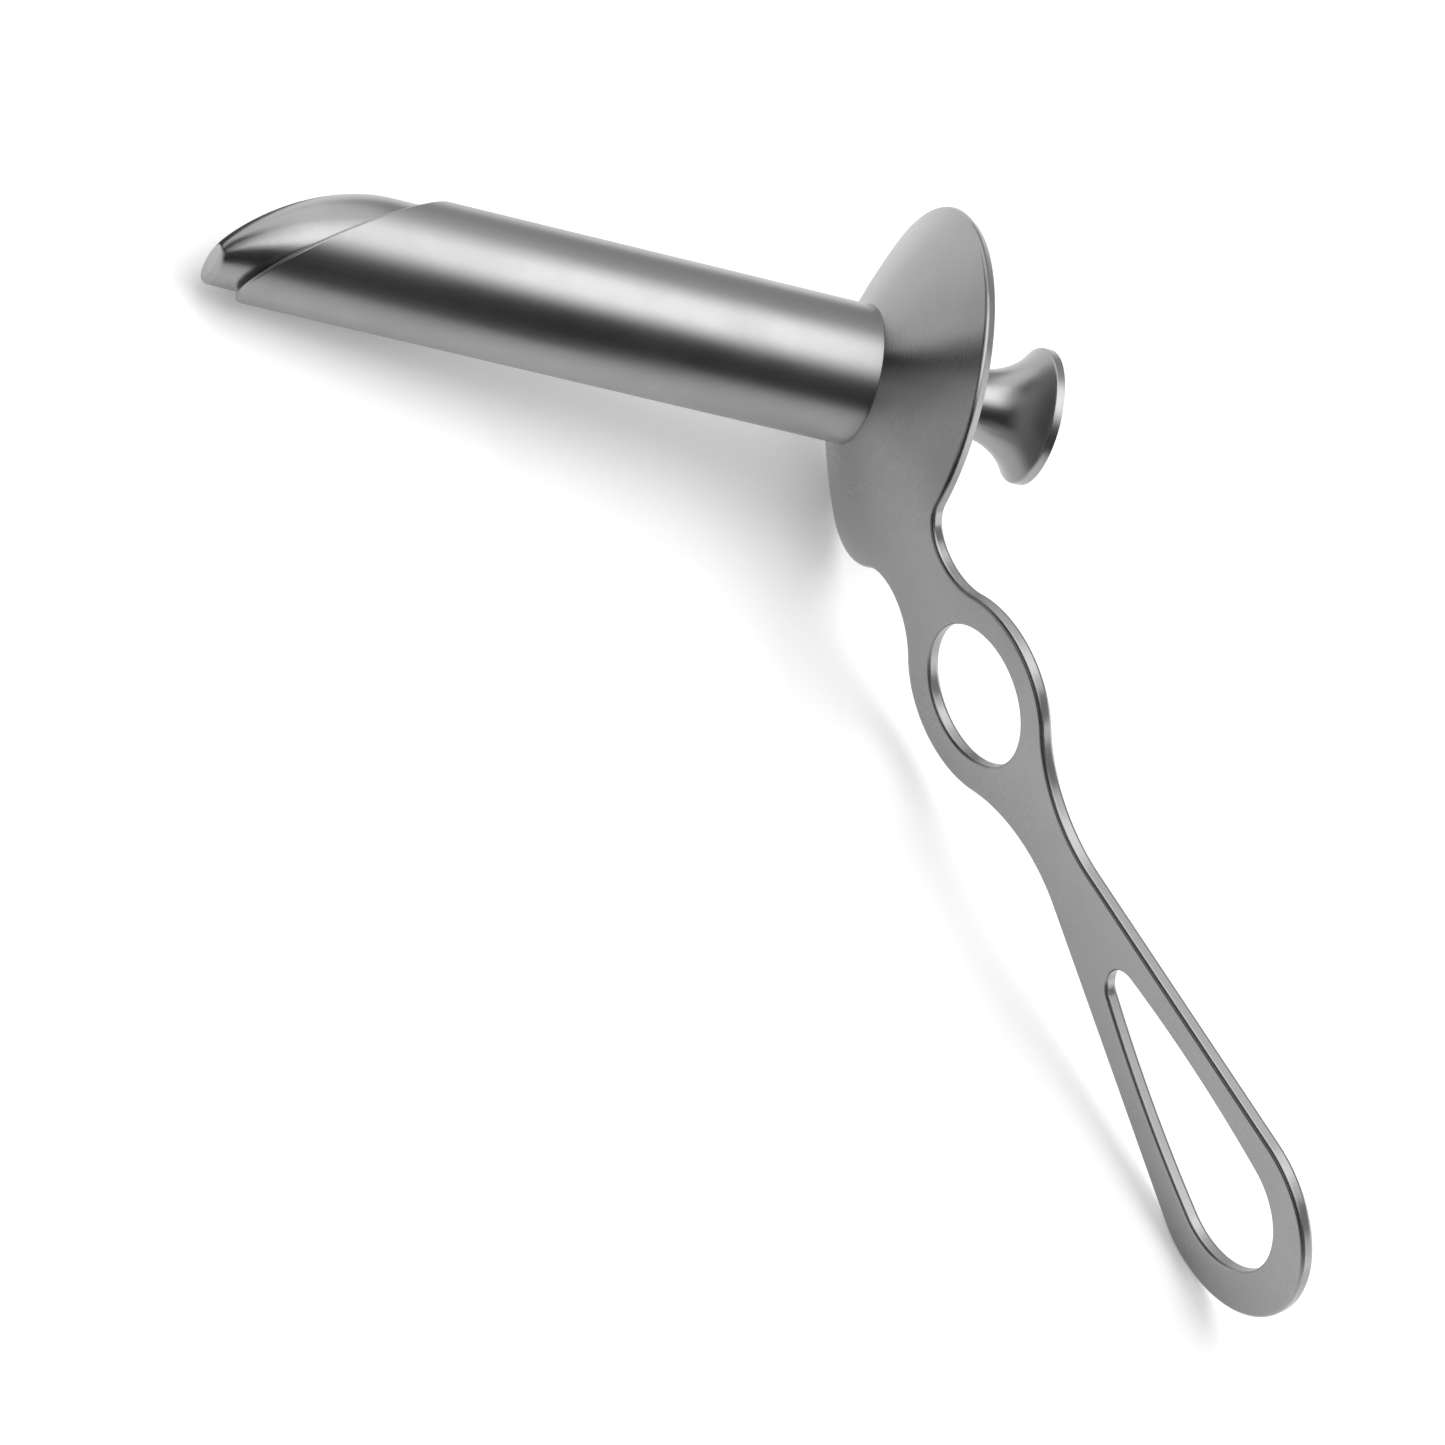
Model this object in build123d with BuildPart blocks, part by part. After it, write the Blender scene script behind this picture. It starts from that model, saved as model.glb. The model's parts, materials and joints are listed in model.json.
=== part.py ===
from build123d import *
import os
from math import asin, atan2, cos, degrees, radians, sin, sqrt, tan

# A tubular rectal speculum of the one-handed pattern, with its obturator seated in the barrel.
# Millimetres. While it is built, X runs along the barrel towards the user and is 0 where the
# barrel meets the dish, the handle hangs towards -Y, and the sheet is symmetric about Z = 0.
# The last section lays the finished pieces down as the instrument rests on a table.

# Barrel, and the obturator that slides in it
obturator_diameter = 24.0
running_clearance = 0.25    # between obturator and barrel, all round
barrel_wall = 1.6
barrel_length = 127.0       # from the tip of the slanted mouth to the dish
bevel_angle = 33.5          # between the slanted mouth and the axis
barrel_edge_round = 0.5

# Pressed sheet: dished flange and handle in one piece. Places along the handle are measured
# from the foot of the dish's rim.
sheet_thickness = 3.0
sheet_edge_round = 0.5
flange_radius = 36.2
flange_rim_round = 0.8
handle_angle = 30.5         # how far the handle leans back from square to the barrel
dish_curve_radius = 207.0   # the dish is slightly bowed
neck_half_width = 10.3
neck_place = 5.2            # the narrowest place of the neck
neck_rim_fillet = 8.6       # where the neck's edge leaves the rim
neck_let_in = 2.5           # how far the neck's wide end is let into the dish
neck_recess = 0.25          # and how far its faces lie under the dish's faces there
neck_foot_share = 0.8       # of the rim fillet, from the narrowest place up to the neck's foot
neck_spans = 6              # between the neck's lofted sections
ring_place = 30.9
ring_hole_radius = 14.2
ring_outer_radius = 21.0
ring_shank_fillet = 31.0
shank_taper = 12.45         # each edge of the shank opens by this angle towards the loop
loop_place = 139.9
loop_outer_radius = 22.1
loop_hole_place = 138.8
loop_hole_radius = 13.9
loop_tip_place = 95.4
loop_tip_radius = 5.1
loop_side_radius = 220.0    # the loop hole's long sides are bowed outwards

# Obturator: bullet head, rod, collar and knob
head_seat_length = 8.0      # of the head's parallel body that lies behind the slanted mouth
nose_length = 32.3
nose_reach = 4.7            # how far the nose stands out past the barrel's tip
nose_tip_half_height = 2.9
nose_fullness = 1.79
nose_bluntness = 0.88
nose_end_round = 1.3
nose_spans = 8              # between the nose's lofted sections
rod_diameter = 9.0
rod_socket_depth = 12.0
socket_clearance = 0.02
collar_guide_length = 8.0
collar_shoulder_length = 4.0
collar_edge_round = 0.4
knob_neck_wall = 2.3        # around the rod's end
knob_neck_length = 16.8
knob_flare_length = 12.9
knob_rim_radius = 13.6
knob_rim_width = 1.8
knob_rim_front_round = 0.6
knob_rim_back_round = 1.0
knob_crown_height = 0.8

rest_steps = 40             # rounds in which the resting pose settles

# Sizes that follow from the ones above
head_radius = obturator_diameter / 2
bore_radius = head_radius + running_clearance
barrel_radius = bore_radius + barrel_wall
rod_radius = rod_diameter / 2
lean = radians(handle_angle)

# The dish's outer face is an arc in the plane of the axis. It leaves the barrel at X = 0, and
# at the rim it leans as the handle does, so that the handle runs on from it without a kink.
barrel_lean = asin(sin(lean) - (flange_radius - barrel_radius) / dish_curve_radius)
rim_x = dish_curve_radius * (cos(barrel_lean) - cos(lean))
dish_centre_x = rim_x + dish_curve_radius * cos(lean)
dish_centre_y = flange_radius - dish_curve_radius * sin(lean)


def on_dish(angle, depth=0.0):
    """Point of the dish's section where the face leans by angle, depth below the outer face."""
    reach = dish_curve_radius - depth
    return (dish_centre_x - reach * cos(angle), dish_centre_y + reach * sin(angle))


# The barrel passes through the dish and ends flush with its inner face
seat_lean = asin((barrel_radius - dish_centre_y) / (dish_curve_radius - sheet_thickness))
barrel_end = on_dish(seat_lean, sheet_thickness)[0]

# Directions of the handle: down its length, and out of its front face
down_handle = Vector(sin(lean), -cos(lean), 0)
out_of_handle = Vector(-cos(lean), -sin(lean), 0)
rim_foot = Vector(rim_x, -flange_radius, 0)
handle_face = Plane(origin=rim_foot, x_dir=down_handle, z_dir=out_of_handle)

# Barrel: a tube whose far mouth is cut on a slant, with its long side on the handle's side
barrel_tip = -barrel_length
bevel_run = 2 * barrel_radius / tan(radians(bevel_angle))
with BuildPart() as barrel:
    with BuildSketch(Plane.YZ.offset(barrel_tip)):
        Circle(barrel_radius)
        Circle(bore_radius, mode=Mode.SUBTRACT)
    extrude(amount=barrel_end - barrel_tip)
    with BuildSketch(Plane.XY):
        with BuildLine():
            Polyline(
                (barrel_tip, -barrel_radius),
                (barrel_tip + bevel_run, barrel_radius),
                (barrel_tip, barrel_radius),
                close=True,
            )
        make_face()
    extrude(amount=2 * barrel_radius, both=True, mode=Mode.SUBTRACT)
    slanted_mouth = barrel.faces().filter_by(GeomType.PLANE).sort_by(Axis.X)[0]
    fillet(slanted_mouth.edges(), barrel_edge_round)
barrel.part.label = "barrel"

# The neck's edge is an arc that leaves the rim, then an arc that runs into the ring
neck_to_ring = ring_place - neck_place
neck_ring_fillet = (neck_to_ring**2 + neck_half_width**2 - ring_outer_radius**2) / (
    2 * (ring_outer_radius - neck_half_width)
)
neck_end = neck_place + neck_to_ring * neck_ring_fillet / (neck_ring_fillet + ring_outer_radius)

# The neck is a loft. It starts at its foot, inside the rim, where its edge is steep.
neck_foot = neck_place - neck_foot_share * neck_rim_fillet


def neck_width_at(place):
    """Half width of the neck at a place along the handle."""
    radius = neck_rim_fillet if place < neck_place else neck_ring_fillet
    return neck_half_width + radius - sqrt(radius**2 - (place - neck_place) ** 2)


def neck_drop_at(place, half_width):
    """How far the neck's edges lie behind its middle: as on the dish, fading out at the ring."""
    share = max(place / neck_end, 0.0)
    fade = 1 - share**2 * (3 - 2 * share)
    return fade * sin(lean) / flange_radius * half_width**2 / 2


def neck_section(place, half_width, recess=0.0):
    """Cross-section of the neck: a strip, curved as the dish is, with rounded edges."""
    section_plane = Plane(rim_foot + down_handle * place, x_dir=(0, 0, 1), z_dir=down_handle)
    drop = neck_drop_at(place, half_width)
    front = -recess
    back = recess - sheet_thickness
    with BuildSketch(section_plane) as section:
        with BuildLine():
            if drop > 0:
                ThreePointArc((-half_width, front - drop), (0, front), (half_width, front - drop))
                ThreePointArc((-half_width, back - drop), (0, back), (half_width, back - drop))
            else:
                Line((-half_width, front), (half_width, front))
                Line((-half_width, back), (half_width, back))
            Line((-half_width, front - drop), (-half_width, back - drop))
            Line((half_width, front - drop), (half_width, back - drop))
        make_face()
        fillet(section.vertices(), sheet_edge_round)
    return section.sketch


neck_sections = [neck_section(neck_foot - neck_let_in, neck_width_at(neck_foot), neck_recess)]
for step in range(neck_spans):
    place = neck_foot + (neck_end - neck_foot) * step / neck_spans
    neck_sections.append(neck_section(place, neck_width_at(place)))
neck_sections.append(neck_section(neck_end, neck_width_at(neck_end)))

# The shank's edge is an arc that leaves the ring, then a straight line that touches the loop.
# The arc's centre lies on a line beside the straight edge, and off the ring by both radii.
taper = radians(shank_taper)
shank_end = Vector(loop_place - loop_outer_radius * sin(taper), loop_outer_radius * cos(taper))
shank_along = Vector(cos(taper), sin(taper))
shank_out = Vector(-sin(taper), cos(taper))
ring_centre = Vector(ring_place, 0)
beside_end = shank_end + shank_out * ring_shank_fillet - ring_centre
back_along = beside_end.dot(shank_along)
beside_reach = sqrt((ring_outer_radius + ring_shank_fillet) ** 2 - beside_end.dot(shank_out) ** 2)
fillet_centre = ring_centre + beside_end + shank_along * (beside_reach - back_along)
shank_start = fillet_centre - shank_out * ring_shank_fillet
ring_leave = atan2(fillet_centre.Y, fillet_centre.X - ring_place)
ring_meet = atan2(neck_width_at(neck_end), neck_end - ring_place)

# The loop's hole is four arcs: a small one at the tip, a large one at the end, and two sides
loop_hole_span = loop_hole_place - loop_tip_place
side_to_tip = loop_side_radius - loop_tip_radius
side_to_end = loop_side_radius - loop_hole_radius
side_along = (loop_hole_span**2 + side_to_tip**2 - side_to_end**2) / (2 * loop_hole_span)
side_centre = Vector(loop_tip_place + side_along, -sqrt(side_to_tip**2 - side_along**2))
tip_centre = Vector(loop_tip_place, 0)
end_centre = Vector(loop_hole_place, 0)
tip_touch = side_centre + (tip_centre - side_centre).normalized() * loop_side_radius
end_touch = side_centre + (end_centre - side_centre).normalized() * loop_side_radius

# Flange and handle: the flat part from the ring to the loop, the neck, and the dish
with BuildPart() as flange_handle:
    with BuildSketch(handle_face):
        with BuildLine():
            ring_arc = CenterArc(
                (ring_place, 0), ring_outer_radius, degrees(ring_meet), degrees(ring_leave - ring_meet)
            )
            waist_arc = TangentArc(
                ring_arc @ 1, (shank_start.X, shank_start.Y), tangent=ring_arc % 1
            )
            shank_edge = Line(waist_arc @ 1, (shank_end.X, shank_end.Y))
            TangentArc(
                shank_edge @ 1, (loop_place + loop_outer_radius, 0), tangent=shank_edge % 1
            )
            Line((neck_end, 0), ring_arc @ 0)
            mirror(about=Plane.XZ)
        make_face()
        with Locations((ring_place, 0)):
            Circle(ring_hole_radius, mode=Mode.SUBTRACT)
        with BuildLine():
            tip_arc = TangentArc(
                (loop_tip_place - loop_tip_radius, 0), (tip_touch.X, tip_touch.Y), tangent=(0, 1)
            )
            side_arc = TangentArc(tip_arc @ 1, (end_touch.X, end_touch.Y), tangent=tip_arc % 1)
            TangentArc(side_arc @ 1, (loop_hole_place + loop_hole_radius, 0), tangent=side_arc % 1)
            mirror(about=Plane.XZ)
        make_face(mode=Mode.SUBTRACT)
    extrude(amount=-sheet_thickness)
    flat_faces = flange_handle.faces().filter_by(handle_face)
    neck_face = flange_handle.faces().filter_by(Plane(rim_foot, z_dir=down_handle)).sort_by(Axis.Y)[-1]
    flat_edges = [edge for edge in flat_faces.edges() if edge not in neck_face.edges()]
    fillet(flat_edges, sheet_edge_round)
    loft(neck_sections)
    with BuildSketch(Plane.XY) as dish_section:
        with BuildLine():
            outer_arc = ThreePointArc(
                on_dish(barrel_lean), on_dish((barrel_lean + lean) / 2), on_dish(lean)
            )
            inner_arc = ThreePointArc(
                on_dish(seat_lean, sheet_thickness),
                on_dish((seat_lean + lean) / 2, sheet_thickness),
                on_dish(lean, sheet_thickness),
            )
            Line(outer_arc @ 0, inner_arc @ 0)
            Line(outer_arc @ 1, inner_arc @ 1)
        make_face()
        fillet(dish_section.vertices().sort_by(Axis.Y)[-2:], flange_rim_round)
    revolve(axis=Axis.X)
flange_handle.part.label = "flange_handle"

# Obturator head: a parallel body that runs in the barrel, and a nose whose sections are
# ellipses that shrink towards the handle's side, so that it fills the slanted mouth
nose_end = barrel_tip - nose_reach
nose_start = nose_end + nose_length
head_back = barrel_tip + bevel_run + head_seat_length
rod_front = head_back - rod_socket_depth


def nose_section(share):
    """Section of the nose at a share of its length."""
    swell = (1 - share**nose_fullness) ** nose_bluntness
    half_height = nose_tip_half_height + (head_radius - nose_tip_half_height) * swell
    half_width = sqrt(head_radius * half_height)
    section_origin = (nose_start - share * nose_length, half_height - head_radius, 0)
    with BuildSketch(Plane(section_origin, x_dir=(0, 0, 1), z_dir=(-1, 0, 0))) as section:
        Ellipse(half_width, half_height)
    return section.sketch


with BuildPart() as obturator_head:
    loft([nose_section(step / nose_spans) for step in range(nose_spans + 1)])
    fillet(obturator_head.edges().sort_by(Axis.X)[0], nose_end_round)
    with BuildSketch(Plane.YZ.offset(nose_start)):
        Circle(head_radius)
    extrude(amount=head_back - nose_start)
    with BuildSketch(Plane.YZ.offset(rod_front)):
        Circle(rod_radius + socket_clearance)
    extrude(amount=rod_socket_depth, mode=Mode.SUBTRACT)
obturator_head.part.label = "obturator_head"

# Collar: guides the rod's near end in the barrel, and its shoulder stops on the barrel's end
collar_front = barrel_end - collar_guide_length
collar_back = barrel_end + collar_shoulder_length
with BuildPart() as obturator_collar:
    with BuildSketch(Plane.YZ.offset(collar_front)):
        Circle(head_radius)
    extrude(amount=collar_guide_length)
    with BuildSketch(Plane.YZ.offset(barrel_end)):
        Circle(bore_radius + barrel_wall / 2)
    extrude(amount=collar_shoulder_length)
    collar_ends = obturator_collar.edges().filter_by(GeomType.CIRCLE).sort_by(Axis.X)
    fillet([collar_ends[0], collar_ends[-1]], collar_edge_round)
    with BuildSketch(Plane.YZ.offset(collar_front)):
        Circle(rod_radius + socket_clearance)
    extrude(amount=collar_back - collar_front, mode=Mode.SUBTRACT)
obturator_collar.part.label = "obturator_collar"

# Rod: from the head's socket, through the collar, into the knob's socket
rod_back = collar_back + rod_socket_depth
with BuildPart() as obturator_rod:
    with BuildSketch(Plane.YZ.offset(rod_front)):
        Circle(rod_radius)
    extrude(amount=rod_back - rod_front)
obturator_rod.part.label = "obturator_rod"

# Knob: a neck that flares to a rounded rim, with a slightly crowned end
knob_neck_radius = rod_radius + knob_neck_wall
knob_neck_end = collar_back + knob_neck_length
knob_rim_place = knob_neck_end + knob_flare_length
knob_back = knob_rim_place + knob_rim_width
knob_top = knob_back + knob_crown_height
with BuildPart() as obturator_knob:
    with BuildSketch(Plane.XY) as knob_section:
        with BuildLine():
            neck_line = Line((collar_back, knob_neck_radius), (knob_neck_end, knob_neck_radius))
            flare = TangentArc(neck_line @ 1, (knob_rim_place, knob_rim_radius), tangent=(1, 0))
            rim_line = Line(flare @ 1, (knob_back, knob_rim_radius))
            TangentArc((knob_top, 0), rim_line @ 1, tangent=(0, 1))
            Polyline((knob_top, 0), (collar_back, 0), neck_line @ 0)
        make_face()
        rim_corners = knob_section.vertices().sort_by(Axis.Y)[-2:].sort_by(Axis.X)
        fillet(rim_corners[0], knob_rim_front_round)
        fillet(rim_corners[1], knob_rim_back_round)
    revolve(axis=Axis.X)
    with BuildSketch(Plane.YZ.offset(collar_back)):
        Circle(rod_radius + socket_clearance)
    extrude(amount=rod_socket_depth, mode=Mode.SUBTRACT)
obturator_knob.part.label = "obturator_knob"

# At rest the instrument lies on the dish's rim, the loop's edge and the barrel's slanted mouth.
# Each function gives the lowest point of one of them for a downward direction.
mid_sheet = rim_foot - out_of_handle * (sheet_thickness / 2)


def lowest_of_rim(down):
    outward = Vector(0, down.Y, down.Z).normalized()
    rounding_radius = flange_radius - flange_rim_round
    rounding_x = rim_x + flange_rim_round / cos(lean)
    return Vector(rounding_x, 0, 0) + outward * rounding_radius + down * flange_rim_round


def lowest_of_loop(down):
    across = Vector(0, 0, 1)
    outward = (down_handle * down.dot(down_handle) + across * down.dot(across)).normalized()
    side = 1 if down.dot(out_of_handle) > 0 else -1
    centre = mid_sheet + down_handle * loop_place
    centre += out_of_handle * (side * (sheet_thickness / 2 - sheet_edge_round))
    return centre + outward * (loop_outer_radius - sheet_edge_round) + down * sheet_edge_round


def lowest_of_mouth(down):
    slope = tan(radians(bevel_angle))
    angle = atan2(-down.Z, -(down.X / slope + down.Y))
    along = barrel_tip + barrel_radius * (1 - cos(angle)) / slope
    return Vector(along, -barrel_radius * cos(angle), -barrel_radius * sin(angle))


down = Vector(0, 0, -1)
for step in range(rest_steps):
    rim_point = lowest_of_rim(down)
    down = (lowest_of_loop(down) - rim_point).cross(lowest_of_mouth(down) - rim_point).normalized()
    if down.Z > 0:
        down = -down

# The table's frame: Z up, and X along the barrel as seen from above
along_barrel = Vector(1, 0, 0)
table_x = (along_barrel - down * along_barrel.dot(down)).normalized()
table = Plane(origin=lowest_of_rim(down), x_dir=table_x, z_dir=-down)

pieces = [
    barrel.part,
    flange_handle.part,
    obturator_head.part,
    obturator_rod.part,
    obturator_collar.part,
    obturator_knob.part,
]
laid = [table.to_local_coords(piece) for piece in pieces]
extent = laid[0].bounding_box()
for laid_piece in laid[1:]:
    extent = extent.add(laid_piece.bounding_box())
onto_origin = Location((-extent.center().X, -extent.center().Y, -extent.min.Z))

os.makedirs("parts", exist_ok=True)
for piece, laid_piece in zip(pieces, laid):
    export_step(laid_piece.moved(onto_origin), f"parts/{piece.label}.step")
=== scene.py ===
import json
import math

import bmesh
import bpy
from mathutils import Matrix, Vector


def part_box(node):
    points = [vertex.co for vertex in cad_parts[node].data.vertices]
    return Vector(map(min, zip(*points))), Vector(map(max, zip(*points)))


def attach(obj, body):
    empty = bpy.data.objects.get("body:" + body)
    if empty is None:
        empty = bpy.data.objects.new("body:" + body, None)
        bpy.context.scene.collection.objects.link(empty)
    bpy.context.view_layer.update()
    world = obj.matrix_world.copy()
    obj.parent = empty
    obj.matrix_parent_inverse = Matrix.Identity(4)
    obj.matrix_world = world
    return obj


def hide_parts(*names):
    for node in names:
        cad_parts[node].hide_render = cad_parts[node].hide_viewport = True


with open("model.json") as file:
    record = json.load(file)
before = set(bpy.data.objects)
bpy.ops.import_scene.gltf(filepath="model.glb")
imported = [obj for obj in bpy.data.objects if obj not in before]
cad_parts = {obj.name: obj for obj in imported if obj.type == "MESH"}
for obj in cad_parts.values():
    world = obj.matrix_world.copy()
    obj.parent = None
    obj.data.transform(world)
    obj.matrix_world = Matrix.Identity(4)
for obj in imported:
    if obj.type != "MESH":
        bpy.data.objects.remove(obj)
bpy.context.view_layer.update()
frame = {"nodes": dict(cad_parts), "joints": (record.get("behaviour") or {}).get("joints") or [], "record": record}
mm = 0.001


# Barrel. A round steel tube, open at both ends, with its far mouth cut on a slant and every edge
# rounded for the patient's comfort. It was satin polished on a belt while it turned, so its fine
# lines run round it, and its near end is brazed into the dish of the flange.
along_barrel = Vector(frame["joints"][0]["axis"])
handle_mount = frame["record"]["mounts"][0]
out_of_handle = Vector(handle_mount["axis"])
across = out_of_handle.cross(along_barrel).normalized()
up_from_handle = across.cross(along_barrel)
barrel_turn = Matrix((along_barrel, up_from_handle, across)).transposed()
rod_low, rod_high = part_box("obturator_rod")
barrel_middle = (rod_low + rod_high) / 2

polished_colour = (0.34, 0.34, 0.345)
line_strength = 0.25
line_depth = 0.01 * mm
haze_patches_per_metre = 40.0
haze_shade = 0.94           # of the steel's colour, where handling has dulled it
haze_weight = 0.5           # of the haze in the dullness, where the lines weigh 1
least_dull, most_dull = 0.3, 1.2    # of lines and haze together


def new_group(name, inputs, outputs):
    """An empty shader node group with these sockets, and its input and output nodes."""
    group = bpy.data.node_groups.new(name, "ShaderNodeTree")
    for label, kind in inputs:
        group.interface.new_socket(label, in_out="INPUT", socket_type=kind)
    for label, kind in outputs:
        group.interface.new_socket(label, in_out="OUTPUT", socket_type=kind)
    return group, group.nodes.new("NodeGroupInput"), group.nodes.new("NodeGroupOutput")


def set_inputs(tree, node, values):
    """Give a node's first inputs, in order, plain values or the outputs of other nodes."""
    for socket, value in zip(node.inputs, values):
        if isinstance(value, bpy.types.NodeSocket):
            tree.links.new(value, socket)
        else:
            socket.default_value = value


def math_node(tree, operation, *values):
    """The output of a Math node with those inputs."""
    node = tree.nodes.new("ShaderNodeMath")
    node.operation = operation
    set_inputs(tree, node, values)
    return node.outputs["Value"]


def ramp(tree, value, start, end, low=0.0, high=1.0, smooth=False):
    """An output that goes from low to high while the value goes from start to end."""
    node = tree.nodes.new("ShaderNodeMapRange")
    node.interpolation_type = "SMOOTHSTEP" if smooth else "LINEAR"
    set_inputs(tree, node, (value, start, end, low, high))
    return node.outputs["Result"]


def noise(tree, place, per_metre, detail, roughness, distortion=0.0):
    """An uneven output between 0 and 1, with so many light and dark places to the metre."""
    node = tree.nodes.new("ShaderNodeTexNoise")
    node.inputs["Detail"].default_value = detail
    node.inputs["Roughness"].default_value = roughness
    node.inputs["Distortion"].default_value = distortion
    tree.links.new(place, node.inputs["Vector"])
    tree.links.new(per_metre, node.inputs["Scale"])
    return node.outputs["Fac"]


def build_turned_lines():
    """Fine rings round the X axis, which polishing leaves on a piece that turns in a lathe.

    They fade out at the axis itself, where a flat end hardly moves under the belt.
    """
    group, given, made = new_group(
        "turned_lines",
        [("Vector", "NodeSocketVector"), ("Lines per Metre", "NodeSocketFloat")],
        [("Lines", "NodeSocketFloat")],
    )
    still_radius, full_radius = 0.5 * mm, 2.5 * mm
    no_line = 0.5
    parts = group.nodes.new("ShaderNodeSeparateXYZ")
    group.links.new(given.outputs["Vector"], parts.inputs["Vector"])
    squares = [math_node(group, "POWER", parts.outputs[axis], 2.0) for axis in "YZ"]
    radius = math_node(group, "SQRT", math_node(group, "ADD", *squares))
    ring_place = group.nodes.new("ShaderNodeCombineXYZ")
    set_inputs(group, ring_place, (parts.outputs["X"], radius))
    rings = noise(
        group, ring_place.outputs["Vector"], given.outputs["Lines per Metre"],
        detail=3.0, roughness=0.65,
    )
    off_centre = ramp(group, radius, still_radius, full_radius, smooth=True)
    swing = math_node(group, "SUBTRACT", rings, no_line)
    lines = math_node(group, "MULTIPLY_ADD", swing, off_centre, no_line)
    group.links.new(lines, made.inputs["Lines"])
    return group


def build_handling_haze():
    """Soft uneven patches, where washing and handling have left the satin a little duller."""
    group, given, made = new_group(
        "handling_haze",
        [("Vector", "NodeSocketVector"), ("Patches per Metre", "NodeSocketFloat")],
        [("Haze", "NodeSocketFloat")],
    )
    clear, hazy = 0.35, 0.65
    clouds = noise(
        group, given.outputs["Vector"], given.outputs["Patches per Metre"],
        detail=4.0, roughness=0.55, distortion=0.4,
    )
    group.links.new(ramp(group, clouds, clear, hazy, smooth=True), made.inputs["Haze"])
    return group


turned_lines = build_turned_lines()
handling_haze = build_handling_haze()


def place_effect(tree, effect, place, per_metre):
    """The output of one of the two effects at that place."""
    node = tree.nodes.new("ShaderNodeGroup")
    node.node_tree = effect
    set_inputs(tree, node, (place, per_metre))
    return node.outputs[0]


def new_material(name):
    """A new material, with its node tree and its shader."""
    material = bpy.data.materials.new(name)
    material.use_nodes = True
    return material, material.node_tree, material.node_tree.nodes["Principled BSDF"]


def steel(name, colour, middle, lines_per_metre, satin, polish):
    """Satin steel, whose lines run round the barrel's axis and are placed from that middle.

    Its roughness lies between polish and satin, by polishing line and by haze.
    """
    material, tree, shader = new_material(name)
    shader.inputs["Metallic"].default_value = 1.0

    object_place = tree.nodes.new("ShaderNodeTexCoord").outputs["Object"]
    own_place = tree.nodes.new("ShaderNodeMapping")
    own_place.vector_type = "TEXTURE"
    set_inputs(tree, own_place, (object_place, middle, barrel_turn.to_euler()))
    lines = place_effect(tree, turned_lines, own_place.outputs["Vector"], lines_per_metre)
    haze = place_effect(tree, handling_haze, own_place.outputs["Vector"], haze_patches_per_metre)

    tone = tree.nodes.new("ShaderNodeMix")
    tone.data_type = "RGBA"
    tone.inputs["A"].default_value = (*colour, 1.0)
    tone.inputs["B"].default_value = (*(haze_shade * part for part in colour), 1.0)
    tree.links.new(haze, tone.inputs["Factor"])
    tree.links.new(tone.outputs["Result"], shader.inputs["Base Color"])

    dullness = math_node(tree, "MULTIPLY_ADD", haze, haze_weight, lines)
    gloss = ramp(tree, dullness, least_dull, most_dull, polish, satin)
    tree.links.new(gloss, shader.inputs["Roughness"])

    relief = tree.nodes.new("ShaderNodeBump")
    relief.inputs["Strength"].default_value = line_strength
    relief.inputs["Distance"].default_value = line_depth
    tree.links.new(lines, relief.inputs["Height"])
    tree.links.new(relief.outputs["Normal"], shader.inputs["Normal"])
    return material


barrel_steel = steel(
    "barrel_satin_steel", polished_colour, barrel_middle, lines_per_metre=4000.0,
    satin=0.36, polish=0.28,
)
frame["nodes"]["barrel"].data.materials[0] = barrel_steel


# Flange and handle. One 3 mm steel sheet, blanked to its outline with the finger ring and the
# open loop, and pressed into a dish at the barrel's end. The dish was polished as it turned and
# the handle brushed across, and the edges are rounded over so that they sit well in the hand.
flange_radius = 36.2
handle_lean = math.radians(30.5)
dish_curve_radius = 207.0
barrel_radius = 13.85
hidden_lip = 0.5            # of the dish's hole, which lies within the barrel's wall
neck_place = 5.2            # places along the handle are measured from the rim's foot
neck_half_width = 10.3
ring_place = 30.9
ring_hole_radius = 14.2
ring_outer_radius = 21.0
waist_radius = 31.0
shank_taper = math.radians(12.45)
loop_place = 139.9
loop_outer_radius = 22.1
loop_hole_place = 138.8
loop_hole_radius = 13.9
loop_tip_place = 95.4
loop_tip_radius = 5.1
loop_side_radius = 220.0
close_steps_reach = 13.26   # above the loop's tip, where the outline's steps grow short
mount_place = 71.1
sheet_thickness = 3.0
sheet_edge_round = 0.85
sheet_edge_band = 1.0       # the narrow strip along each edge that the rounding takes up
brushed_colour = (0.31, 0.31, 0.315)
highlight_stretch = 0.9

down_handle = across.cross(out_of_handle)
rim_foot = Vector(handle_mount["pos_m"]) - down_handle * mount_place * mm

# The dish's front face is an arc in the plane of the axis, which leans as the handle does at
# the rim. Heights are along the barrel, from the place where the face meets it.
barrel_lean = math.asin(
    math.sin(handle_lean) - (flange_radius - barrel_radius) / dish_curve_radius
)
rim_height = dish_curve_radius * (math.cos(barrel_lean) - math.cos(handle_lean))
curve_height = dish_curve_radius * math.cos(barrel_lean)
curve_reach = flange_radius - dish_curve_radius * math.sin(handle_lean)
dish_middle = rim_foot - along_barrel * rim_height * mm + up_from_handle * flange_radius * mm


def arc(centre, radius, start, end, steps):
    """Points along an arc, without its last one. Angles are in radians."""
    angles = [start + (end - start) * step / steps for step in range(steps)]
    return [
        (centre[0] + radius * math.cos(angle), centre[1] + radius * math.sin(angle))
        for angle in angles
    ]


def line(start, end, steps):
    """Points along a straight line, without its last one."""
    start, end = Vector(start), Vector(end)
    return [tuple(start.lerp(end, step / steps)) for step in range(steps)]


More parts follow.
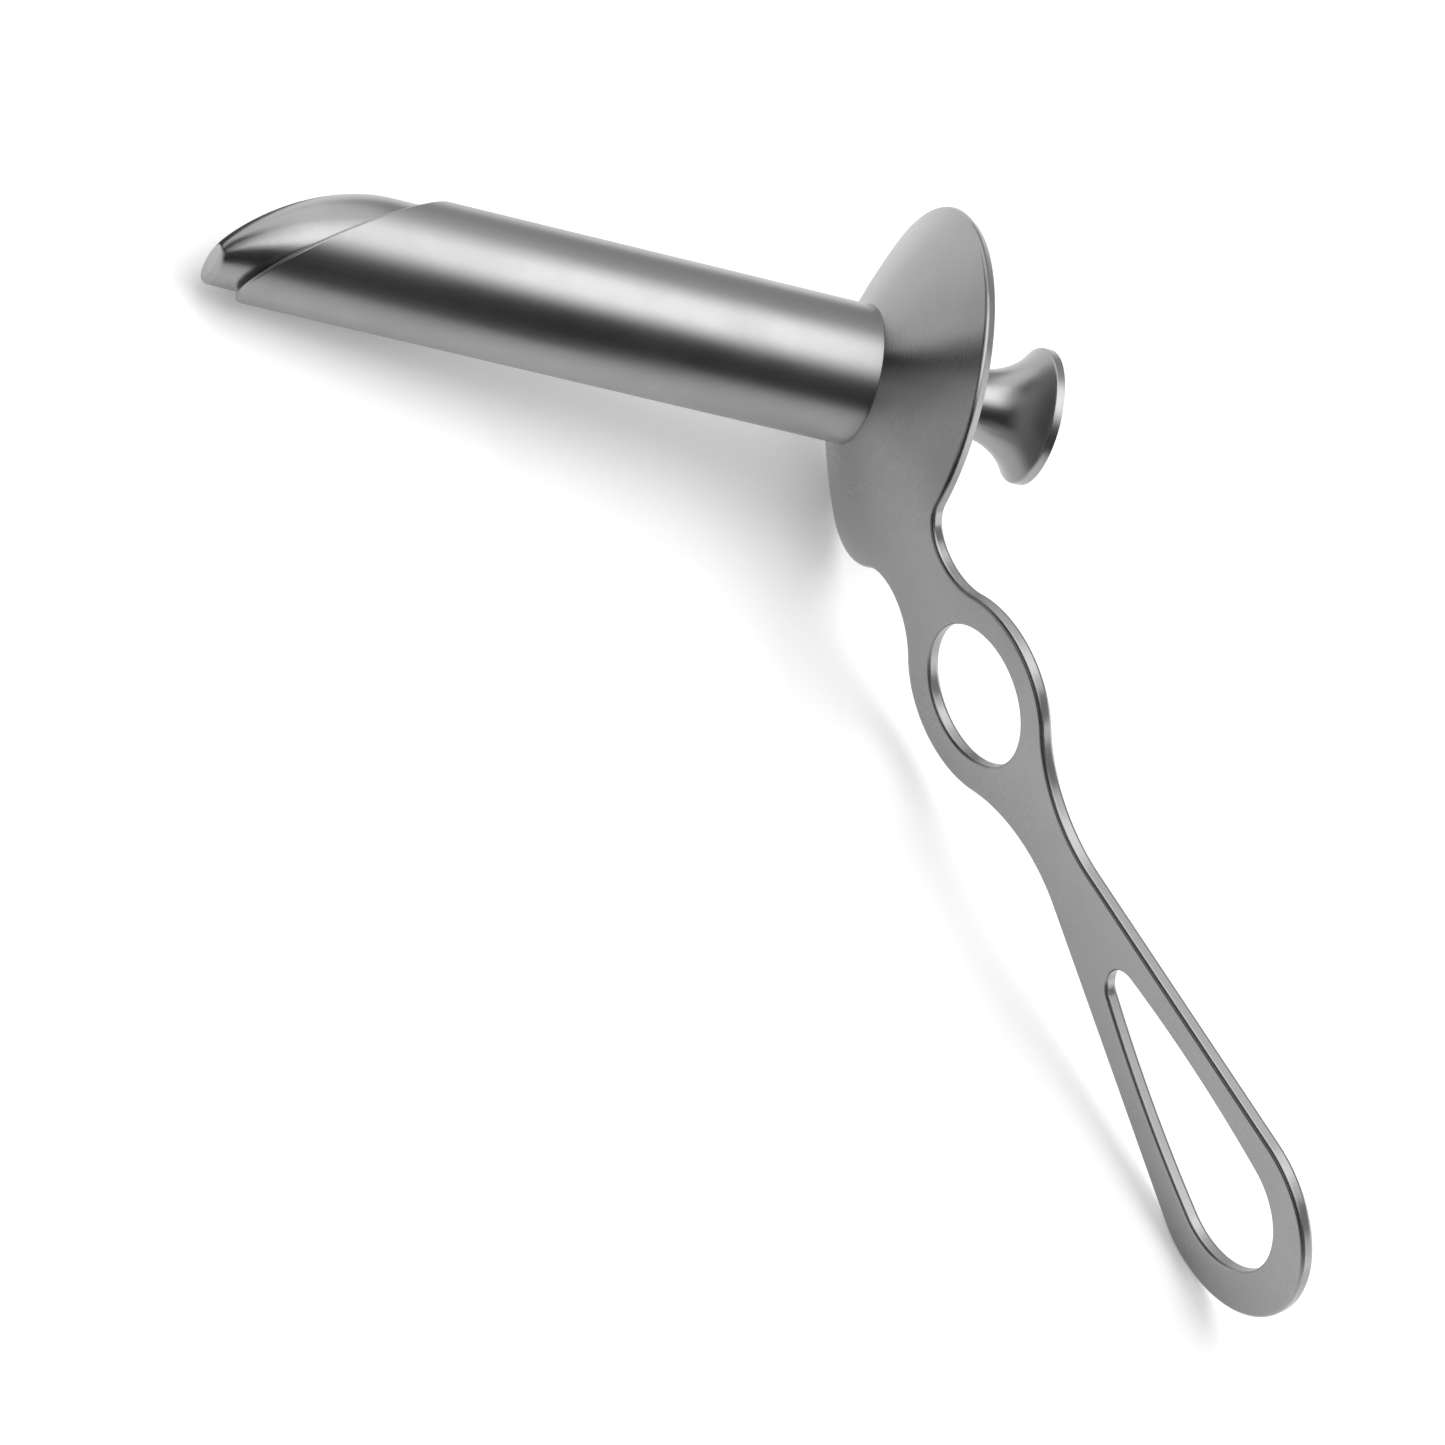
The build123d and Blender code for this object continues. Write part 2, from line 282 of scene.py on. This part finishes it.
def on_handle(points):
    """Points of the flat handle, as seen along the barrel: how far down, and how far across."""
    return [(flange_radius + place * math.cos(handle_lean), half) for place, half in points]


# The neck's edge leaves the rim on an arc that touches it, and runs into the ring on another
neck_down = flange_radius + neck_place * math.cos(handle_lean)
rim_arc_radius = (neck_down**2 + neck_half_width**2 - flange_radius**2) / (
    2 * (flange_radius - neck_half_width)
)
rim_arc_across = neck_half_width + rim_arc_radius
leave_rim = math.atan2(rim_arc_across, neck_down)
neck_to_ring = ring_place - neck_place
ring_arc_radius = (neck_to_ring**2 + neck_half_width**2 - ring_outer_radius**2) / (
    2 * (ring_outer_radius - neck_half_width)
)
ring_arc_across = neck_half_width + ring_arc_radius
meet_ring = math.atan2(ring_arc_across, -neck_to_ring)
neck_end = ring_place + ring_outer_radius * math.cos(meet_ring)

# The shank's edge leaves the ring on an arc, and runs straight until it touches the loop
shank_out = Vector((-math.sin(shank_taper), math.cos(shank_taper)))
shank_along = Vector((math.cos(shank_taper), math.sin(shank_taper)))
loop_touch = Vector((loop_place, 0)) + shank_out * loop_outer_radius
beside_touch = loop_touch + shank_out * waist_radius - Vector((ring_place, 0))
waist_reach = math.sqrt(
    (ring_outer_radius + waist_radius) ** 2 - beside_touch.dot(shank_out) ** 2
)
waist_offset = beside_touch + shank_along * (waist_reach - beside_touch.dot(shank_along))
waist_centre = waist_offset + Vector((ring_place, 0))
shank_start = waist_centre - shank_out * waist_radius
leave_ring = math.atan2(waist_offset.y, waist_offset.x)
shank_above_tip, shank_beside_tip = [
    shank_start + shank_along * (place - shank_start.x) / math.cos(shank_taper)
    for place in (loop_tip_place - close_steps_reach, loop_tip_place)
]

# The loop's hole is a small arc at its tip, a large one at its end, and a bowed side between
hole_span = loop_hole_place - loop_tip_place
side_to_tip = loop_side_radius - loop_tip_radius
side_to_end = loop_side_radius - loop_hole_radius
side_from_tip = (hole_span**2 + side_to_tip**2 - side_to_end**2) / (2 * hole_span)
side_depth = math.sqrt(side_to_tip**2 - side_from_tip**2)
side_centre = (loop_tip_place + side_from_tip, -side_depth)
leave_tip = math.atan2(side_depth, -side_from_tip)
leave_side = math.atan2(side_depth, hole_span - side_from_tip)

lip_radius = barrel_radius - hidden_lip

# Steps along each stretch. Those of the outline and those of the line of holes beside it come to
# the same number, so that the rows across the sheet join them one to one.
rim_steps, leave_rim_steps, into_ring_steps, ring_steps, waist_steps = 78, 16, 14, 60, 24
shank_steps, tip_steps, side_steps, end_steps = 6, 20, 30, 48
lip_foot_steps, neck_middle_steps, ring_hole_steps, shank_middle_steps = 6, 10, 88, 16
rows_across = 4
nearest_middle = 1.5 * math.pi      # where an arc beside the sheet is nearest its centre line


def outer_edge(inset):
    """Half of the sheet's outline from the dish's top to the loop's end, drawn in by inset."""
    drawn_in = shank_out * inset
    above_tip, beside_tip = shank_above_tip - drawn_in, shank_beside_tip - drawn_in
    rim = arc((0, 0), flange_radius - inset, math.pi, leave_rim, rim_steps)
    rim += arc(
        (neck_down, rim_arc_across), rim_arc_radius + inset,
        leave_rim + math.pi, nearest_middle, leave_rim_steps,
    )
    ring_side = arc(
        (neck_place, ring_arc_across), ring_arc_radius + inset,
        nearest_middle, meet_ring + math.pi, into_ring_steps,
    )
    ring_side += arc((ring_place, 0), ring_outer_radius - inset, meet_ring, leave_ring, ring_steps)
    shank_side = arc(
        waist_centre, waist_radius + inset,
        leave_ring + math.pi, nearest_middle + shank_taper, waist_steps,
    )
    shank_side += line(shank_start - drawn_in, above_tip, shank_steps)
    shank_side += line(above_tip, beside_tip, tip_steps)
    shank_side += line(beside_tip, loop_touch - drawn_in, side_steps)
    loop_side = arc(
        (loop_place, 0), loop_outer_radius - inset, math.pi / 2 + shank_taper, 0, end_steps
    )
    loop_side += [(loop_place + loop_outer_radius - inset, 0)]
    return rim + on_handle(ring_side + shank_side + loop_side)


def lip_edge(inset):
    """Half of the dish's hole for the barrel, grown by inset."""
    radius = lip_radius + inset
    beside_rim = arc((0, 0), radius, math.pi, leave_rim, rim_steps)
    return beside_rim + arc((0, 0), radius, leave_rim, 0, lip_foot_steps) + [(radius, 0)]


def ring_edge(inset):
    """Half of the finger ring's hole, grown by inset."""
    radius = ring_hole_radius + inset
    hole = arc((ring_place, 0), radius, math.pi, 0, ring_hole_steps)
    return on_handle(hole + [(ring_place + radius, 0)])


def loop_edge(inset):
    """Half of the loop's hole, grown by inset."""
    end_radius = loop_hole_radius + inset
    return on_handle(
        arc((loop_tip_place, 0), loop_tip_radius + inset, math.pi, leave_tip, tip_steps)
        + arc(side_centre, loop_side_radius + inset, leave_tip, leave_side, side_steps)
        + arc((loop_hole_place, 0), end_radius, leave_side, 0, end_steps)
        + [(loop_hole_place + end_radius, 0)]
    )


def pressed_height(down, half):
    """How far along the barrel the sheet's front face lies, at a place seen along the barrel.

    Between the rim and the ring, the face goes smoothly from the dish's slope to the flat handle.
    """
    reach = math.hypot(down, half)
    if reach <= flange_radius:
        return curve_height - math.sqrt(dish_curve_radius**2 - (reach - curve_reach) ** 2)
    dish_height = rim_height + (reach - flange_radius) * math.tan(handle_lean)
    flat_height = rim_height + (down - flange_radius) * math.tan(handle_lean)
    share = (down - flange_radius) / (neck_end * math.cos(handle_lean))
    share = min(max(share, 0.0), 1.0)
    return dish_height + (flat_height - dish_height) * share**2 * (3 - 2 * share)


def edge_chain(blank, points):
    """The points of one edge of the blank, joined in a row."""
    verts = [blank.verts.new((0, -down, half)) for down, half in points]
    return [blank.edges.new(pair) for pair in zip(verts, verts[1:])]


def new_object(name, data):
    """A new object in the scene, at the origin."""
    made = bpy.data.objects.new(name, data)
    bpy.context.scene.collection.objects.link(made)
    return made


def mesh_object(name, shape):
    """A new object with the shape of that bmesh, which is used up."""
    mesh = bpy.data.meshes.new(name)
    shape.to_mesh(mesh)
    shape.free()
    return new_object(name, mesh)


def vector_node(tree, operation, *values):
    """The output of a Vector Math node with those inputs."""
    node = tree.nodes.new("ShaderNodeVectorMath")
    node.operation = operation
    set_inputs(tree, node, values)
    return node.outputs["Value" if operation in ("LENGTH", "DOT_PRODUCT") else "Vector"]


# The middle of the half sheet is a grid between the outline and the holes with the centre line,
# and a narrow strip of even width along each edge takes up the rounding
blank = bmesh.new()
sheet_edges = (outer_edge, lip_edge, ring_edge, loop_edge)
outer, lip, ring, loop = (edge(sheet_edge_band) for edge in sheet_edges)
neck_middle = line(lip[-1], ring[0], neck_middle_steps)
shank_middle = line(ring[-1], loop[0], shank_middle_steps)
outline = edge_chain(blank, outer)
holes = edge_chain(blank, lip[:-1] + neck_middle + ring[:-1] + shank_middle + loop)
across_edges = bmesh.ops.bridge_loops(blank, edges=outline + holes)["edges"]
bmesh.ops.subdivide_edges(blank, edges=across_edges, cuts=rows_across, use_grid_fill=True)
for edge in sheet_edges:
    strip_sides = edge_chain(blank, edge(0)) + edge_chain(blank, edge(sheet_edge_band))
    bmesh.ops.bridge_loops(blank, edges=strip_sides)
same_place = 0.001
bmesh.ops.remove_doubles(blank, verts=blank.verts[:], dist=same_place)

# The flat half is pressed, mirrored, turned the right way out and put in its place
for vert in blank.verts:
    vert.co.x = pressed_height(-vert.co.y, vert.co.z)
half_sheet = blank.verts[:] + blank.edges[:] + blank.faces[:]
bmesh.ops.mirror(blank, geom=half_sheet, axis="Z", merge_dist=same_place)
bmesh.ops.recalc_face_normals(blank, faces=blank.faces[:])
if sum(face.normal.x for face in blank.faces) > 0:
    bmesh.ops.reverse_faces(blank, faces=blank.faces[:])
bmesh.ops.scale(blank, vec=(mm, mm, mm), verts=blank.verts[:])
bmesh.ops.rotate(blank, cent=(0, 0, 0), matrix=barrel_turn, verts=blank.verts[:])
bmesh.ops.translate(blank, vec=dish_middle, verts=blank.verts[:])
for face in blank.faces:
    face.smooth = True
sheet = mesh_object("flange_and_handle", blank)

wall = sheet.modifiers.new("thickness", "SOLIDIFY")
wall.thickness = sheet_thickness * mm
wall.offset = -1.0
wall.use_even_offset = True
rounding = sheet.modifiers.new("rounded_edges", "BEVEL")
rounding.width = sheet_edge_round * mm
rounding.segments = 4
rounding.limit_method = "ANGLE"
rounding.angle_limit = math.radians(50)
rounding.harden_normals = True
rounding.use_clamp_overlap = False

# The dish was polished while it turned and the handle was brushed across, so fine lines lie
# round the barrel's axis on both, and stretch the highlights away from it
sheet_steel = steel(
    "sheet_satin_steel", brushed_colour, dish_middle, lines_per_metre=4000.0,
    satin=0.29, polish=0.25,
)
sheet_tree = sheet_steel.node_tree
sheet_shader = sheet_tree.nodes["Principled BSDF"]
sheet_shader.inputs["Anisotropic"].default_value = highlight_stretch
sheet_place = sheet_tree.nodes.new("ShaderNodeTexCoord").outputs["Object"]
from_middle = vector_node(sheet_tree, "SUBTRACT", sheet_place, dish_middle)
round_axis = vector_node(sheet_tree, "CROSS_PRODUCT", from_middle, along_barrel)
outward = vector_node(sheet_tree, "CROSS_PRODUCT", along_barrel, round_axis)
sheet_tree.links.new(outward, sheet_shader.inputs["Tangent"])
sheet.data.materials.append(sheet_steel)
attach(sheet, "speculum")
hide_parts("flange_handle")


# Obturator head. A solid steel plug that fills the barrel's mouth while the instrument goes in.
# It was turned from bar, its nose ground to a slanted round point and polished finer than the
# barrel, and it is screwed and brazed on the end of the rod.
head_steel = steel(
    "head_polished_steel", polished_colour, barrel_middle, lines_per_metre=5000.0,
    satin=0.32, polish=0.25,
)
frame["nodes"]["obturator_head"].data.materials[0] = head_steel


# Obturator rod and collar. A drawn steel rod runs through the barrel, and a turned steel disc
# on it keeps the rod central and stops on the barrel's end. Both are plain satin, with coarse
# lathe lines, because no one touches them, and they are brazed together.
rod_steel = steel(
    "rod_lathe_steel", brushed_colour, barrel_middle, lines_per_metre=2500.0,
    satin=0.45, polish=0.34,
)
for node in ("obturator_rod", "obturator_collar"):
    frame["nodes"][node].data.materials[0] = rod_steel


# Obturator knob. A flared steel knob that the surgeon pulls to draw the obturator out. It was
# turned in one piece, its rim rounded over, and polished on the lathe, and it is screwed and
# brazed on the rod's near end.
knob_steel = steel(
    "knob_polished_steel", polished_colour, barrel_middle, lines_per_metre=4500.0,
    satin=0.33, polish=0.26,
)
frame["nodes"]["obturator_knob"].data.materials[0] = knob_steel


# Table. A pale matt sheet under the instrument, wide enough for every view. It keeps the soft
# shadow, and where the lens or the metal sees it, it is lifted towards white, more so far off.
table_half_width = 20.0
table_grey = 0.9
table_sheen = 0.1
lift_near, lift_far = 0.2, 0.6
lift_starts, lift_ends = 0.5, 2.5


def plain_material(name, grey, roughness):
    """A new material of one plain grey, with its node tree and its shader."""
    material, tree, shader = new_material(name)
    shader.inputs["Base Color"].default_value = (grey, grey, grey, 1.0)
    shader.inputs["Roughness"].default_value = roughness
    return material, tree, shader


table_top = bmesh.new()
bmesh.ops.create_grid(table_top, x_segments=1, y_segments=1, size=table_half_width)
floor = mesh_object("floor", table_top)
floor_white, floor_tree, floor_shader = plain_material("floor_white", table_grey, roughness=0.9)
floor_shader.inputs["Specular IOR Level"].default_value = table_sheen
rays = floor_tree.nodes.new("ShaderNodeLightPath").outputs
in_metal = math_node(floor_tree, "MAXIMUM", rays["Is Glossy Ray"], rays["Is Transmission Ray"])
seen = math_node(floor_tree, "MAXIMUM", rays["Is Camera Ray"], in_metal)
floor_place = floor_tree.nodes.new("ShaderNodeTexCoord").outputs["Object"]
far_off = vector_node(floor_tree, "LENGTH", floor_place)
whiter = ramp(floor_tree, far_off, lift_starts, lift_ends, lift_near, lift_far)
lift = math_node(floor_tree, "MULTIPLY", seen, whiter)
floor_shader.inputs["Emission Color"].default_value = (1.0, 1.0, 1.0, 1.0)
floor_tree.links.new(lift, floor_shader.inputs["Emission Strength"])
floor.data.materials.append(floor_white)


# Studio light. Plain grey light comes from all round, and large soft lamps hang above the
# instrument, behind it and on the knob's side.
room_grey = 0.5
world = bpy.data.worlds.new("studio")
bpy.context.scene.world = world
world.use_nodes = True
background = world.node_tree.nodes["Background"]
background.inputs["Color"].default_value = (room_grey, room_grey, room_grey, 1.0)
background.inputs["Strength"].default_value = 1.0


def toward(azimuth, elevation):
    """Direction from the object, as a camera's azimuth and elevation give it, in degrees."""
    a, e = math.radians(azimuth), math.radians(elevation)
    return Vector((math.sin(a) * math.cos(e), -math.cos(a) * math.cos(e), math.sin(e)))


def softbox(name, azimuth, elevation, distance, size, radiance):
    """A lamp of that width and height, turned to the origin, whose face has that radiance."""
    lamp = bpy.data.lights.new(name, "AREA")
    lamp.shape = "RECTANGLE"
    lamp.size, lamp.size_y = size
    lamp.energy = math.pi * size[0] * size[1] * radiance
    holder = new_object(name, lamp)
    holder.location = toward(azimuth, elevation) * distance
    holder.rotation_euler = holder.location.to_track_quat("Z", "Y").to_euler()


softbox("top_softbox", azimuth=90, elevation=84, distance=1.2, size=(0.85, 0.85), radiance=2.2)
softbox("wide_softbox", azimuth=90, elevation=84, distance=1.2, size=(1.4, 1.4), radiance=1.1)
softbox("back_softbox", azimuth=196, elevation=34, distance=1.4, size=(0.8, 1.7), radiance=0.9)
softbox("side_softbox", azimuth=82, elevation=14, distance=1.3, size=(1.0, 0.7), radiance=1.5)


# Dark cards, which give the metal its dark bands. Neither the lens nor the diffuse light sees
# them, and they cast no shadow. The first is a matt black sheet curved round the front, with two
# windows cut along its foot.
black = 0.02
card_radius = 1.1
card_height = 1.25
card_ends = (-145, 48)
window_height = 0.5
windows = [(-145, -112), (-86, -38)]


def stage_card(name, shape, material):
    """A dark card with the shape of that bmesh, hidden from the lens, the diffuse light and shadows."""
    card = mesh_object(name, shape)
    card.data.materials.append(material)
    card.visible_camera = False
    card.visible_diffuse = False
    card.visible_shadow = False


def round_the_front(part):
    """Azimuth of a vertex or face of the card, in degrees."""
    place = part.co if isinstance(part, bmesh.types.BMVert) else part.calc_center_median()
    return math.degrees(math.atan2(place.x, -place.y))


card = bmesh.new()
bmesh.ops.create_circle(card, segments=180, radius=card_radius)
for vert in [v for v in card.verts if not card_ends[0] < round_the_front(v) < card_ends[1]]:
    card.verts.remove(vert)
top_edges = card.edges[:]
for rise in (window_height, card_height - window_height):
    raised = bmesh.ops.extrude_edge_only(card, edges=top_edges)["geom"]
    raised_verts = [part for part in raised if isinstance(part, bmesh.types.BMVert)]
    raised_edges = [part for part in raised if isinstance(part, bmesh.types.BMEdge)]
    top_edges = [edge for edge in raised_edges if all(v in raised_verts for v in edge.verts)]
    bmesh.ops.translate(card, vec=(0, 0, rise), verts=raised_verts)
low_faces = [face for face in card.faces if face.calc_center_median().z < window_height]
cut_out = [f for f in low_faces if any(a < round_the_front(f) < b for a, b in windows)]
bmesh.ops.delete(card, geom=cut_out, context="FACES")
matt_black, _, _ = plain_material("matt_black", black, roughness=0.9)
stage_card("dark_card", card, matt_black)

# The second lies on the table in front of the barrel, and fades out towards the barrel and
# towards the handle. It is clear before the first reach along each direction, and black beyond
# the second.
flag_half_width = 0.5
flag_middle = (0, -0.45, 0.0005)
flag_fades = [((0, -1, 0), -0.05, 0.05), ((-0.9, -0.43, 0), -0.03, 0.03)]
flag = bmesh.new()
bmesh.ops.create_grid(flag, x_segments=1, y_segments=1, size=flag_half_width)
bmesh.ops.translate(flag, vec=flag_middle, verts=flag.verts[:])
fading_black, fade_tree, fade_shader = plain_material("fading_black", black, roughness=0.5)
fade_place = fade_tree.nodes.new("ShaderNodeTexCoord").outputs["Object"]
fades = [
    ramp(fade_tree, vector_node(fade_tree, "DOT_PRODUCT", fade_place, direction), start, end)
    for direction, start, end in flag_fades
]
fade_tree.links.new(math_node(fade_tree, "MULTIPLY", *fades), fade_shader.inputs["Alpha"])
stage_card("table_flag", flag, fading_black)

# The third is a strip on the table behind the barrel, which widens away from the dish. The dish
# shows it as its dark band.
strip_near_end = (-0.066, 0.080, 0.0008)
strip_azimuth = -106
strip_length, strip_near_width, strip_far_width = 0.95, 0.03, 0.18
unit_half_width = 0.5
strip = bmesh.new()
bmesh.ops.create_grid(strip, x_segments=1, y_segments=1, size=unit_half_width)
for vert in strip.verts:
    vert.co.y *= strip_near_width if vert.co.x < 0 else strip_far_width
bmesh.ops.scale(strip, vec=(strip_length, 1, 1), verts=strip.verts[:])
bmesh.ops.translate(strip, vec=(strip_length / 2, 0, 0), verts=strip.verts[:])
strip_turn = Matrix.Rotation(math.radians(strip_azimuth - 90), 3, "Z")
bmesh.ops.rotate(strip, cent=(0, 0, 0), matrix=strip_turn, verts=strip.verts[:])
bmesh.ops.translate(strip, vec=strip_near_end, verts=strip.verts[:])
stage_card("table_strip", strip, matt_black)


# Camera. It has a long lens and looks down on the barrel from its front left, at the
# photograph's viewing angle, rolled so that the handle hangs down in the picture.
view_azimuth, view_elevation, view_roll = -40.431, 42.831, 49.302
view_distance = 1.32944
view_aim = Vector((-0.008826, -0.012343, 0.018690))
camera_data = bpy.data.cameras.new("camera")
camera_data.lens = 177.2
camera_data.sensor_width = 36.0
camera_data.clip_end = 20.0
camera = new_object("camera", camera_data)
bpy.context.scene.camera = camera
camera.location = view_aim + toward(view_azimuth, view_elevation) * view_distance
camera.rotation_euler = (
    Matrix.Rotation(math.radians(view_azimuth), 3, "Z")
    @ Matrix.Rotation(math.radians(90 - view_elevation), 3, "X")
    @ Matrix.Rotation(math.radians(view_roll), 3, "Z")
).to_euler()
bpy.context.scene.view_settings.view_transform = "Standard"
